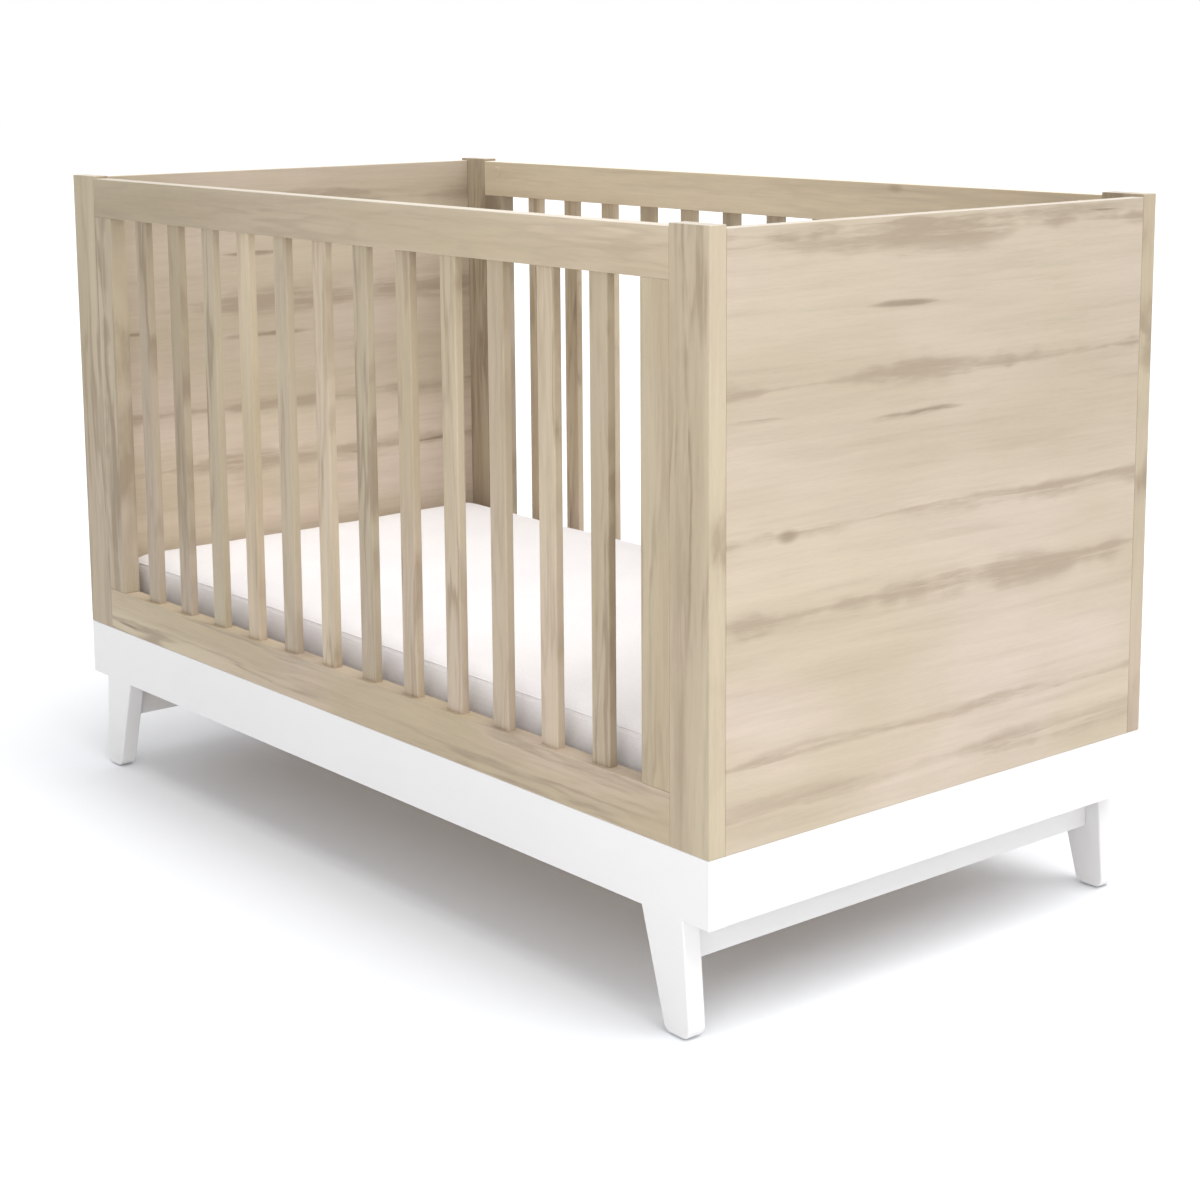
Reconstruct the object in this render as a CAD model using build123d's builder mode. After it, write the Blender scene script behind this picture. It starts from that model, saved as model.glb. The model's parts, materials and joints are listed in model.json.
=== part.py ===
from build123d import *
from math import ceil
import os

# Baby crib with two solid ends, two slatted sides and a lift-out slatted base under the mattress.
# Millimetres. +X runs along the length, -Y is the front, +Z is up. The origin is on the floor,
# below the middle of the crib.

os.makedirs("parts", exist_ok=True)

# Overall
length = 1450
depth = 764
height = 928                 # floor to the top of the corner posts
edge_radius = 1.2            # softened board edges
leg_edge_radius = 2.4

# Legs
leg_height = 143             # floor to the underside of the plinth
leg_thickness = 26
leg_top_width = 72
leg_foot_width = 43
leg_inset = 44               # end of the plinth to the leg's outer edge, where they meet
leg_splay = 12               # how far the outer edge leans out on its way down
foot_radius = 12
glide_radius = 8
glide_height = 2
cross_rail_thickness = 22
cross_rail_inset = 62        # end of the plinth to the cross rail's outer face
cross_rail_drop = 60         # below the underside of the plinth
cross_rail_rise = 20         # above it, between the plinth boards

# Plinth
plinth_height = 82
plinth_thickness = 26
plinth_end_thickness = 18

# Ends
post_width = 66
post_thickness = 25
post_rise = 4                # the posts stand this much above the panels and rails
panel_thickness = 18

# Slatted sides
side_thickness = 25
bottom_rail_height = 63
top_rail_height = 58
stile_width = 48
slat_width = 32
slat_thickness = 12
slat_radius = 2
slat_gap_limit = 65          # widest gap that keeps a child safe
tenon_length = 10
tenon_clearance = 0.1

# Mattress base
base_seat = 53               # underside of the plinth to the brackets' top face
base_rail_width = 36
base_rail_height = 30
base_rail_inset = 27         # side frame to the middle of the base rail
base_end_gap = 4             # base rail end to the bracket
base_slat_width = 60
base_slat_thickness = 10
base_slat_overhang = 20      # past the middle of the base rail
base_slat_gap_limit = 58
base_slat_setback = 40       # base rail end to the first slat
base_step = 120              # between the three heights of the base
base_heights = 3

# Brackets that carry the base
bracket_thickness = 3
bracket_width = 40
bracket_reach = 43
bracket_rise = 63
bracket_screw_low = 15       # bracket's underside to the lower screw
bracket_screw_pitch = 35
bracket_screw_radius = 2.4
bracket_screw_length = 14
bracket_screw_head = 4.5
base_bolt_radius = 3
base_bolt_head = 6.5
base_bolt_head_height = 3.5
base_bolt_setback = 15       # base rail end to the bolt
base_bolt_clearance = 0.25
weld_nut_radius = 6
weld_nut_height = 5
hex_key_radius = 2.3

# Mattress
mattress_thickness = 99.7
mattress_clearance = 7       # to the sides and ends
mattress_radius = 18
mattress_lift = 0.3          # above the slats

# Dowels, connecting bolts and hanger bolts
dowel_radius = 4
dowel_length = 36
pin_clearance = 0.05
pin_margin = 1               # how far outside a board a pin's middle may be and still enter it
dowel_end_gap = 0.5
rail_dowel_offset = 14
cam_offset = 12
cam_radius = 7.5
cam_height = 14
cam_setback = 34             # rail end to the middle of the cam
cam_pocket_depth = 16.5
cam_clearance = 0.1
cam_bolt_radius = 3
cam_bolt_reach = 12          # into the post
cam_bolt_clearance = 0.5
cam_channel = 7
leg_bolt_radius = 4
leg_bolt_length = 60
leg_bolt_spacing = 36
post_dowel_spacing = 28
plinth_dowel_spacing = 44
cross_dowel_spacing = 30
panel_dowel_margin = 60
stile_dowel_shift = 8        # towards the slats, clear of the cam

# Levels and planes worked out from the sizes above
plinth_top = leg_height + plinth_height
rail_top = height - post_rise
slat_bottom = plinth_top + bottom_rail_height
slat_top = rail_top - top_rail_height
half_length = length / 2
half_depth = depth / 2
inside_x = half_length - panel_thickness
inside_y = half_depth - max(side_thickness, post_thickness)
post_inner_x = half_length - post_width
post_mid_y = half_depth - post_thickness / 2
side_mid_y = half_depth - side_thickness / 2
side_inner_y = half_depth - side_thickness
post_inner_y = half_depth - post_thickness
plinth_inner_y = half_depth - plinth_thickness
plinth_end_inner_x = half_length - plinth_end_thickness
leg_mid_y = half_depth - leg_thickness / 2
leg_inner_y = half_depth - leg_thickness
stile_inner_x = post_inner_x - stile_width
stile_mid_x = post_inner_x - stile_width / 2
leg_top_outer = half_length - leg_inset
leg_top_inner = leg_top_outer - leg_top_width
leg_foot_outer = leg_top_outer + leg_splay
leg_foot_inner = leg_foot_outer - leg_foot_width
foot_mid_x = (leg_foot_outer + leg_foot_inner) / 2
cross_rail_mid_x = half_length - cross_rail_inset - cross_rail_thickness / 2
panel_mid_x = half_length - panel_thickness / 2
plinth_end_mid_x = half_length - plinth_end_thickness / 2

# Slats stand at even gaps between the stiles, as few as the widest safe gap allows
slat_span = 2 * stile_inner_x
slat_count = ceil((slat_span - slat_gap_limit) / (slat_width + slat_gap_limit))
slat_pitch = (slat_span + slat_width) / (slat_count + 1)
slat_centres = [(i - (slat_count - 1) / 2) * slat_pitch for i in range(slat_count)]

# Base levels
bracket_inner_x = min(inside_x, plinth_end_inner_x)
seat_level = leg_height + base_seat
base_rail_top = seat_level + base_rail_height
base_top = base_rail_top + base_slat_thickness
base_rail_mid_y = inside_y - base_rail_inset
base_half_length = bracket_inner_x - bracket_thickness - base_end_gap
base_slat_length = 2 * (base_rail_mid_y + base_slat_overhang)
base_slat_reach = 2 * (base_half_length - base_slat_setback)
base_slat_count = ceil((base_slat_reach + base_slat_gap_limit) / (base_slat_width + base_slat_gap_limit))
base_slat_pitch = (base_slat_reach - base_slat_width) / (base_slat_count - 1)
base_bolt_x = base_half_length - base_bolt_setback
bracket_screw_levels = [
    seat_level - bracket_thickness + bracket_screw_low,
    seat_level - bracket_thickness + bracket_screw_low + bracket_screw_pitch,
]

ends = {"left": -1, "right": 1}
sides = {"front": -1, "back": 1}
corners = [(x, y) for x in ends.values() for y in sides.values()]

# Middles of the dowels, on the joint between the two pieces that each one holds together
panel_mid = (plinth_top + rail_top) / 2
panel_dowel_levels = [plinth_top + panel_dowel_margin, panel_mid, rail_top - panel_dowel_margin]
plinth_dowel_levels = [leg_height + plinth_height / 2 + s * plinth_dowel_spacing / 2 for s in (-1, 1)]
cross_dowel_levels = [leg_height - cross_rail_drop / 2 + s * cross_dowel_spacing / 2 for s in (-1, 1)]
dowels_along_y = (
    [(x * panel_mid_x, y * post_inner_y, z) for x, y in corners for z in panel_dowel_levels]
    + [(x * plinth_end_mid_x, y * plinth_inner_y, z) for x, y in corners for z in plinth_dowel_levels]
    + [(x * cross_rail_mid_x, y * leg_inner_y, z) for x, y in corners for z in cross_dowel_levels]
)
dowels_along_z = [
    (x * (half_length - post_width / 2 + s * post_dowel_spacing / 2), y * post_mid_y, plinth_top)
    for x, y in corners for s in (-1, 1)
] + [
    (x * (stile_mid_x - stile_dowel_shift), y * side_mid_y, z)
    for x, y in corners for z in (slat_bottom, slat_top)
]
top_rail_mid = rail_top - top_rail_height / 2
bottom_rail_mid = plinth_top + bottom_rail_height / 2
dowels_along_x = [
    (x * post_inner_x, y * side_mid_y, z)
    for x, y in corners for z in (top_rail_mid - rail_dowel_offset, bottom_rail_mid + rail_dowel_offset)
]
cam_spots = [
    (x, y, z) for x, y in corners for z in (top_rail_mid + cam_offset, bottom_rail_mid - cam_offset)
]
leg_bolt_hole = leg_bolt_length + 2 * dowel_end_gap
leg_bolt_mid_x = (leg_top_outer + leg_top_inner + leg_splay) / 2
leg_bolt_spots = [
    (x * (leg_bolt_mid_x + s * leg_bolt_spacing / 2), y * leg_mid_y, leg_height)
    for x, y in corners for s in (-1, 1)
]


def pins(spots, direction, radius, pin_length, mode=Mode.ADD):
    # Round pins, or holes for them, whose middles are at the spots
    for spot in spots:
        with Locations(Plane(origin=spot, z_dir=direction)):
            Cylinder(radius, pin_length, mode=mode)


def near(spots, low, high):
    # The spots inside a box, so that a board is drilled only where a pin enters it
    margin = pin_margin
    return [p for p in spots if all(a - margin <= c <= b + margin for a, c, b in zip(low, p, high))]


def drill_dowels(low, high):
    # Dowel holes in the board that fills the box from low to high
    for spots, direction in (
        (dowels_along_x, (1, 0, 0)),
        (dowels_along_y, (0, 1, 0)),
        (dowels_along_z, (0, 0, 1)),
    ):
        hole_length = dowel_length + 2 * dowel_end_gap
        pins(near(spots, low, high), direction, dowel_radius + pin_clearance, hole_length, Mode.SUBTRACT)


def span(a, b):
    # A centre and a size from two ends
    return (a + b) / 2, abs(b - a)


for side, y in sides.items():
    # Long plinth board, under the side frame and two posts
    with BuildPart() as plinth_board:
        with BuildSketch(Plane.XY.offset(leg_height)):
            with Locations((0, y * (half_depth - plinth_thickness / 2))):
                Rectangle(length, plinth_thickness)
        extrude(amount=plinth_height)
        # The bottom edges stay sharp, as the legs are flush with them
        fillet(plinth_board.edges().sort_by(Axis.Z)[4:], edge_radius)
        near_y, far_y = sorted((y * plinth_inner_y, y * half_depth))
        drill_dowels((-half_length, near_y, leg_height), (half_length, far_y, plinth_top))
        board_bolts = [spot for spot in leg_bolt_spots if spot[1] * y > 0]
        pins(board_bolts, (0, 0, 1), leg_bolt_radius + pin_clearance, leg_bolt_hole, Mode.SUBTRACT)
    plinth_board.part.label = f"plinth_board_{side}"
    export_step(plinth_board.part, f"parts/plinth_board_{side}.step")

for end, x in ends.items():
    # Short plinth board, between the long ones and flush with their ends
    with BuildPart() as plinth_end:
        with BuildSketch(Plane.XY.offset(leg_height)):
            with Locations((x * plinth_end_mid_x, 0)):
                Rectangle(plinth_end_thickness, 2 * plinth_inner_y)
        extrude(amount=plinth_height)
        fillet(plinth_end.edges(), edge_radius)
        near_x, far_x = sorted((x * plinth_end_inner_x, x * half_length))
        drill_dowels((near_x, -plinth_inner_y, leg_height), (far_x, plinth_inner_y, plinth_top))
        with BuildSketch(Plane.YZ.offset(x * plinth_end_inner_x)):
            with Locations(*[(y * base_rail_mid_y, bracket_screw_levels[0]) for y in sides.values()]):
                Circle(bracket_screw_radius + pin_clearance)
        extrude(amount=x * bracket_screw_length, mode=Mode.SUBTRACT)
    plinth_end.part.label = f"plinth_end_{end}"
    export_step(plinth_end.part, f"parts/plinth_end_{end}.step")

    # End panel, standing on the short plinth board between two posts. Its inner face has the
    # screw holes of the upper base heights.
    with BuildPart() as end_panel:
        with BuildSketch(Plane.XY.offset(plinth_top)):
            with Locations((x * panel_mid_x, 0)):
                Rectangle(panel_thickness, 2 * post_inner_y)
        extrude(amount=rail_top - plinth_top)
        fillet(end_panel.edges(), edge_radius)
        near_x, far_x = sorted((x * inside_x, x * half_length))
        drill_dowels((near_x, -post_inner_y, plinth_top), (far_x, post_inner_y, rail_top))
        screw_levels = [
            level + step * base_step
            for step in range(base_heights)
            for level in bracket_screw_levels
            if level + step * base_step > plinth_top
        ]
        with BuildSketch(Plane.YZ.offset(x * inside_x)):
            with Locations(*[(y * base_rail_mid_y, z) for y in sides.values() for z in screw_levels]):
                Circle(bracket_screw_radius + pin_clearance)
        extrude(amount=x * bracket_screw_length, mode=Mode.SUBTRACT)
    end_panel.part.label = f"end_panel_{end}"
    export_step(end_panel.part, f"parts/end_panel_{end}.step")

    # Cross rail between the two legs of one end
    with BuildPart() as cross_rail:
        with BuildSketch(Plane.XY.offset(leg_height - cross_rail_drop)):
            with Locations((x * cross_rail_mid_x, 0)):
                Rectangle(cross_rail_thickness, 2 * max(leg_inner_y, plinth_inner_y))
        extrude(amount=cross_rail_drop + cross_rail_rise)
        fillet(cross_rail.edges(), edge_radius)
        for y in sides.values():
            # Shoulders, where the leg or the plinth board is the thicker of the two
            for inner_y, level, shoulder in (
                (leg_inner_y, leg_height - cross_rail_drop, cross_rail_drop),
                (plinth_inner_y, leg_height, cross_rail_rise),
            ):
                if inner_y < max(leg_inner_y, plinth_inner_y):
                    with BuildSketch(Plane.XY.offset(level)):
                        with Locations((x * cross_rail_mid_x, y * half_depth)):
                            Rectangle(2 * cross_rail_thickness, 2 * (half_depth - inner_y))
                    extrude(amount=shoulder, mode=Mode.SUBTRACT)
        near_x, far_x = sorted((x * (half_length - cross_rail_inset), x * cross_rail_mid_x))
        drill_dowels((near_x, -half_depth, 0), (far_x, half_depth, leg_height))
    cross_rail.part.label = f"cross_rail_{end}"
    export_step(cross_rail.part, f"parts/cross_rail_{end}.step")

for end, x in ends.items():
    for side, y in sides.items():
        # Corner post, flush with the end panel and with the side frame
        with BuildPart() as corner_post:
            with BuildSketch(Plane.XY.offset(plinth_top)):
                with Locations((x * (half_length - post_width / 2), y * post_mid_y)):
                    Rectangle(post_width, post_thickness)
            extrude(amount=height - plinth_top)
            fillet(corner_post.edges(), edge_radius)
            near_x, far_x = sorted((x * post_inner_x, x * half_length))
            near_y, far_y = sorted((y * post_inner_y, y * half_depth))
            drill_dowels((near_x, near_y, plinth_top), (far_x, far_y, height))
            cam_levels = [spot[2] for spot in cam_spots if spot[0] == x and spot[1] == y]
            with BuildSketch(Plane.YZ.offset(x * post_inner_x)):
                with Locations(*[(y * side_mid_y, z) for z in cam_levels]):
                    Circle(cam_bolt_radius + pin_clearance)
            extrude(amount=x * (cam_bolt_reach + dowel_end_gap), mode=Mode.SUBTRACT)
        corner_post.part.label = f"corner_post_{side}_{end}"
        export_step(corner_post.part, f"parts/corner_post_{side}_{end}.step")

        # Stile, closing the side frame beside the post
        with BuildPart() as stile:
            with BuildSketch(Plane.XY.offset(slat_bottom)):
                with Locations((x * stile_mid_x, y * side_mid_y)):
                    Rectangle(stile_width, side_thickness)
            extrude(amount=slat_top - slat_bottom)
            fillet(stile.edges(), edge_radius)
            near_x, far_x = sorted((x * stile_inner_x, x * (post_inner_x - 2 * pin_margin)))
            near_y, far_y = sorted((y * side_inner_y, y * half_depth))
            drill_dowels((near_x, near_y, slat_bottom), (far_x, far_y, slat_top))
        stile.part.label = f"stile_{side}_{end}"
        export_step(stile.part, f"parts/stile_{side}_{end}.step")

        # Leg, flush with the plinth, leaning outwards and tapering to a rounded foot
        with BuildPart() as leg:
            with BuildSketch(Plane.XZ.offset(-y * leg_mid_y)) as leg_outline:
                with BuildLine():
                    Polyline(
                        (x * leg_top_outer, leg_height),
                        (x * leg_foot_outer, glide_height),
                        (x * leg_foot_inner, glide_height),
                        (x * leg_top_inner, leg_height),
                        close=True,
                    )
                make_face()
                fillet(leg_outline.vertices().group_by(Axis.Y)[0], foot_radius)
            extrude(amount=leg_thickness / 2, both=True)
            # The two edges against the plinth stay sharp, so that leg and plinth read as one face
            fillet(leg.faces().filter_by(Axis.Y).edges().sort_by(Axis.Z)[:-2], leg_edge_radius)
            leg_dowels = [spot for spot in dowels_along_y if spot[2] < leg_height and spot[0] * x > 0]
            leg_dowels = [spot for spot in leg_dowels if spot[1] * y > 0]
            hole_length = dowel_length + 2 * dowel_end_gap
            pins(leg_dowels, (0, 1, 0), dowel_radius + pin_clearance, hole_length, Mode.SUBTRACT)
            own_bolts = [spot for spot in leg_bolt_spots if spot[0] * x > 0 and spot[1] * y > 0]
            pins(own_bolts, (0, 0, 1), leg_bolt_radius + pin_clearance, leg_bolt_hole, Mode.SUBTRACT)
        leg.part.label = f"leg_{side}_{end}"
        export_step(leg.part, f"parts/leg_{side}_{end}.step")

mortise_width = slat_width + 2 * tenon_clearance
mortise_thickness = slat_thickness + 2 * tenon_clearance
mortise_depth = tenon_length + dowel_end_gap
bottom_mortise = slat_bottom - mortise_depth

for side, y in sides.items():
    for level, rail_bottom, rail_height, mortise_bottom, cam_level in (
        ("top", slat_top, top_rail_height, slat_top, top_rail_mid + cam_offset),
        ("bottom", plinth_top, bottom_rail_height, bottom_mortise, bottom_rail_mid - cam_offset),
    ):
        # Side rail between the posts, with a mortise for each slat and a cam pocket near each end
        with BuildPart() as side_rail:
            with BuildSketch(Plane.XY.offset(rail_bottom)):
                with Locations((0, y * side_mid_y)):
                    Rectangle(2 * post_inner_x, side_thickness)
            extrude(amount=rail_height)
            fillet(side_rail.edges(), edge_radius)
            with BuildSketch(Plane.XY.offset(mortise_bottom)):
                with Locations(*[(centre, y * side_mid_y) for centre in slat_centres]):
                    Rectangle(mortise_width, mortise_thickness)
            extrude(amount=mortise_depth, mode=Mode.SUBTRACT)
            near_y, far_y = sorted((y * side_inner_y, y * half_depth))
            rail_level_top = rail_bottom + rail_height
            drill_dowels((-post_inner_x, near_y, rail_bottom), (post_inner_x, far_y, rail_level_top))
            with BuildSketch(Plane.XZ.offset(-y * side_inner_y)):
                with Locations(*[(x * (post_inner_x - cam_setback), cam_level) for x in ends.values()]):
                    Circle(cam_radius + cam_clearance)
            extrude(amount=-y * cam_pocket_depth, mode=Mode.SUBTRACT)
            for x in ends.values():
                with BuildSketch(Plane.YZ.offset(x * post_inner_x)):
                    with Locations((y * side_mid_y, cam_level)):
                        Circle(cam_bolt_radius + cam_bolt_clearance)
                extrude(amount=-x * cam_setback, mode=Mode.SUBTRACT)
        side_rail.part.label = f"{level}_rail_{side}"
        export_step(side_rail.part, f"parts/{level}_rail_{side}.step")

    for number, centre in enumerate(slat_centres, start=1):
        # Slat, tenoned into both rails
        with BuildPart() as slat:
            with BuildSketch(Plane.XY.offset(slat_bottom - tenon_length)):
                with Locations((centre, y * side_mid_y)):
                    RectangleRounded(slat_width, slat_thickness, slat_radius)
            extrude(amount=slat_top - slat_bottom + 2 * tenon_length)
        slat.part.label = f"slat_{side}_{number:02d}"
        export_step(slat.part, f"parts/slat_{side}_{number:02d}.step")

    # Base rail, along the base under its slats
    with BuildPart() as base_rail:
        with BuildSketch(Plane.XY.offset(seat_level)):
            with Locations((0, y * base_rail_mid_y)):
                Rectangle(2 * base_half_length, base_rail_width)
        extrude(amount=base_rail_height)
        fillet(base_rail.edges(), edge_radius)
        with BuildSketch(Plane.XY.offset(seat_level)):
            with Locations(*[(x * base_bolt_x, y * base_rail_mid_y) for x in ends.values()]):
                Circle(base_bolt_radius + pin_clearance)
        extrude(amount=base_rail_height, mode=Mode.SUBTRACT)
    base_rail.part.label = f"base_rail_{side}"
    export_step(base_rail.part, f"parts/base_rail_{side}.step")

# Base slats, across both base rails
with BuildPart() as base_slats:
    with BuildSketch(Plane.XY.offset(base_rail_top)):
        with GridLocations(base_slat_pitch, 0, base_slat_count, 1):
            Rectangle(base_slat_width, base_slat_length)
    extrude(amount=base_slat_thickness)
    fillet(base_slats.edges().filter_by(Axis.Y), edge_radius)
base_slats.part.label = "base_slats"
export_step(base_slats.part, "parts/base_slats.step")

# Bolts down through the base rails into the brackets
with BuildPart() as base_bolts:
    bolt_spots = [(x * base_bolt_x, y * base_rail_mid_y) for x, y in corners]
    with BuildSketch(Plane.XY.offset(base_rail_top)):
        with Locations(*bolt_spots):
            Circle(base_bolt_head)
    extrude(amount=base_bolt_head_height)
    fillet(base_bolts.faces().sort_by(Axis.Z)[-4:].edges(), edge_radius)
    with BuildSketch(Plane.XY.offset(base_rail_top)):
        with Locations(*bolt_spots):
            Circle(base_bolt_radius)
    extrude(amount=-(base_rail_height + bracket_thickness + weld_nut_height))
    with BuildSketch(Plane.XY.offset(base_rail_top + base_bolt_head_height)):
        with Locations(*bolt_spots):
            RegularPolygon(hex_key_radius, 6)
    extrude(amount=-base_bolt_head_height / 2, mode=Mode.SUBTRACT)
base_bolts.part.label = "base_bolts"
export_step(base_bolts.part, "parts/base_bolts.step")

# Steel angle brackets, screwed to the ends, each with a nut welded under its shelf
bracket_bottom = seat_level - bracket_thickness
with BuildPart() as base_brackets:
    for x, y in corners:
        with BuildSketch(Plane.XZ.offset(-y * base_rail_mid_y)):
            with BuildLine():
                Polyline(
                    (x * bracket_inner_x, bracket_bottom),
                    (x * (bracket_inner_x - bracket_reach), bracket_bottom),
                    (x * (bracket_inner_x - bracket_reach), seat_level),
                    (x * (bracket_inner_x - bracket_thickness), seat_level),
                    (x * (bracket_inner_x - bracket_thickness), bracket_bottom + bracket_rise),
                    (x * bracket_inner_x, bracket_bottom + bracket_rise),
                    close=True,
                )
            make_face()
        extrude(amount=bracket_width / 2, both=True)
        with BuildSketch(Plane.XY.offset(bracket_bottom)):
            with Locations((x * base_bolt_x, y * base_rail_mid_y)):
                RegularPolygon(weld_nut_radius, 6)
        extrude(amount=-weld_nut_height)
        with BuildSketch(Plane.XY.offset(seat_level)):
            with Locations((x * base_bolt_x, y * base_rail_mid_y)):
                Circle(base_bolt_radius + base_bolt_clearance)
        extrude(amount=-(bracket_thickness + weld_nut_height), mode=Mode.SUBTRACT)
        for z in bracket_screw_levels:
            with Locations(Plane(origin=(x * (bracket_inner_x - bracket_thickness), y * base_rail_mid_y, z),
                                 z_dir=(-x, 0, 0))):
                CounterSinkHole(bracket_screw_radius + pin_clearance, bracket_screw_head + pin_clearance,
                                bracket_thickness)
base_brackets.part.label = "base_brackets"
export_step(base_brackets.part, "parts/base_brackets.step")

# Countersunk screws that hold the brackets
screw_head_depth = bracket_screw_head - bracket_screw_radius
with BuildPart() as bracket_screws:
    for x, y in corners:
        for z in bracket_screw_levels:
            with Locations(Plane(origin=(x * (bracket_inner_x - bracket_thickness), y * base_rail_mid_y, z),
                                 z_dir=(x, 0, 0))):
                Cone(bracket_screw_head, bracket_screw_radius, screw_head_depth,
                     align=(Align.CENTER, Align.CENTER, Align.MIN))
                Cylinder(bracket_screw_radius, bracket_screw_length,
                         align=(Align.CENTER, Align.CENTER, Align.MIN))
bracket_screws.part.label = "bracket_screws"
export_step(bracket_screws.part, "parts/bracket_screws.step")

# Wooden dowels
with BuildPart() as dowels:
    pins(dowels_along_x, (1, 0, 0), dowel_radius, dowel_length)
    pins(dowels_along_y, (0, 1, 0), dowel_radius, dowel_length)
    pins(dowels_along_z, (0, 0, 1), dowel_radius, dowel_length)
dowels.part.label = "dowels"
export_step(dowels.part, "parts/dowels.step")

# Hanger bolts between the legs and the plinth
with BuildPart() as leg_bolts:
    pins(leg_bolt_spots, (0, 0, 1), leg_bolt_radius, leg_bolt_length)
leg_bolts.part.label = "leg_bolts"
export_step(leg_bolts.part, "parts/leg_bolts.step")

# Connecting bolts from the posts into the side rails
cam_x = post_inner_x - cam_setback
bolt_mid, bolt_length = span(cam_x, post_inner_x + cam_bolt_reach)
with BuildPart() as cam_bolts:
    bolt_middles = [(x * bolt_mid, y * side_mid_y, z) for x, y, z in cam_spots]
    pins(bolt_middles, (1, 0, 0), cam_bolt_radius, bolt_length)
cam_bolts.part.label = "cam_bolts"
export_step(cam_bolts.part, "parts/cam_bolts.step")

# Cams that pull those bolts tight, flush with the inside of the rails
with BuildPart() as cam_locks:
    for x, y, z in cam_spots:
        with Locations(Plane(origin=(x * cam_x, y * side_inner_y, z), z_dir=(0, y, 0))):
            Cylinder(cam_radius, cam_height, align=(Align.CENTER, Align.CENTER, Align.MIN))
        channel_near = side_mid_y - cam_channel / 2
        channel_mid_y, channel_depth = span(channel_near, side_inner_y + cam_height)
        channel_mid_x, channel_length = span(cam_x - cam_channel / 2, cam_x + cam_radius)
        with Locations((x * channel_mid_x, y * channel_mid_y, z)):
            Box(channel_length, channel_depth, cam_channel, mode=Mode.SUBTRACT)
        with Locations((x * cam_x, y * side_inner_y, z)):
            Box(cam_radius, 2 * edge_radius, edge_radius, mode=Mode.SUBTRACT)
            Box(edge_radius, 2 * edge_radius, cam_radius, mode=Mode.SUBTRACT)
cam_locks.part.label = "cam_locks"
export_step(cam_locks.part, "parts/cam_locks.step")

# Glides under the feet
with BuildPart() as foot_glides:
    with BuildSketch(Plane.XY):
        with Locations(*[(x * foot_mid_x, y * leg_mid_y) for x, y in corners]):
            Circle(glide_radius)
    extrude(amount=glide_height)
foot_glides.part.label = "foot_glides"
export_step(foot_glides.part, "parts/foot_glides.step")

# Mattress
mattress_length = 2 * (inside_x - mattress_clearance)
mattress_width = 2 * (inside_y - mattress_clearance)
with BuildPart() as mattress:
    with BuildSketch(Plane.XY.offset(base_top + mattress_lift)):
        RectangleRounded(mattress_length, mattress_width, mattress_radius)
    extrude(amount=mattress_thickness)
    fillet(mattress.faces().filter_by(Axis.Z).edges(), mattress_radius)
mattress.part.label = "mattress"
export_step(mattress.part, "parts/mattress.step")
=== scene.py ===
import json
import math
import bmesh
import bpy
from mathutils import Matrix, Vector, noise
from mathutils.bvhtree import BVHTree

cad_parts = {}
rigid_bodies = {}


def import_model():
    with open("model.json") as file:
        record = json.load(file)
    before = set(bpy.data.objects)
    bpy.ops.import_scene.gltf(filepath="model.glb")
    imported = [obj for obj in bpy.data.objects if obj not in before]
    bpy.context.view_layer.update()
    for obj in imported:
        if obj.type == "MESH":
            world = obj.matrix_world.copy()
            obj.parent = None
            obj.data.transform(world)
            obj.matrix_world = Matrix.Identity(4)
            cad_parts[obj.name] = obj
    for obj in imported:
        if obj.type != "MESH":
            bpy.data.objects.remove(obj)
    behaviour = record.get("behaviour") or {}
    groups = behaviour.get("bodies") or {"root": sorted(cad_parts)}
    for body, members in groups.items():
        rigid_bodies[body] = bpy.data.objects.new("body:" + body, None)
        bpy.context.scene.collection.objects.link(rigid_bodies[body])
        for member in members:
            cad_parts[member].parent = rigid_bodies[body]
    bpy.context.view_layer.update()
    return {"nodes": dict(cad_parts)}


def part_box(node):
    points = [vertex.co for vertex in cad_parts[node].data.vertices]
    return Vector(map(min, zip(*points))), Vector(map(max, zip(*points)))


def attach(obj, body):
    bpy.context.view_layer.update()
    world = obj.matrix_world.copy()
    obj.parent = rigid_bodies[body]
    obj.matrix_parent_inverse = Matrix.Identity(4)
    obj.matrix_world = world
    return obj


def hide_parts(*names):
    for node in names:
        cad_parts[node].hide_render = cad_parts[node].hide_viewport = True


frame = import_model()
print("frame loaded:", len(frame["nodes"]), "nodes")


class Wire:
    # one output socket; arithmetic on it adds Math nodes
    def __init__(self, graph, socket):
        self.graph = graph
        self.socket = socket

    def calc(self, operation, first, second):
        inputs = {0: first, 1: second}
        return self.graph.add("ShaderNodeMath", {"operation": operation}, inputs)

    def __add__(self, other):
        return self.calc("ADD", self, other)

    def __radd__(self, other):
        return self.calc("ADD", other, self)

    def __sub__(self, other):
        return self.calc("SUBTRACT", self, other)

    def __rsub__(self, other):
        return self.calc("SUBTRACT", other, self)

    def __mul__(self, other):
        return self.calc("MULTIPLY", self, other)

    def __rmul__(self, other):
        return self.calc("MULTIPLY", other, self)

    def __truediv__(self, other):
        return self.calc("DIVIDE", self, other)

    def __abs__(self):
        return self.graph.add("ShaderNodeMath", {"operation": "ABSOLUTE"}, {0: self})

    def ramp(self, low, high, toLow=0.0, toHigh=1.0):
        # smooth step between two values
        settings = {"interpolation_type": "SMOOTHSTEP"}
        inputs = {0: self, 1: low, 2: high, 3: toLow, 4: toHigh}
        return self.graph.add("ShaderNodeMapRange", settings, inputs)


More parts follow.
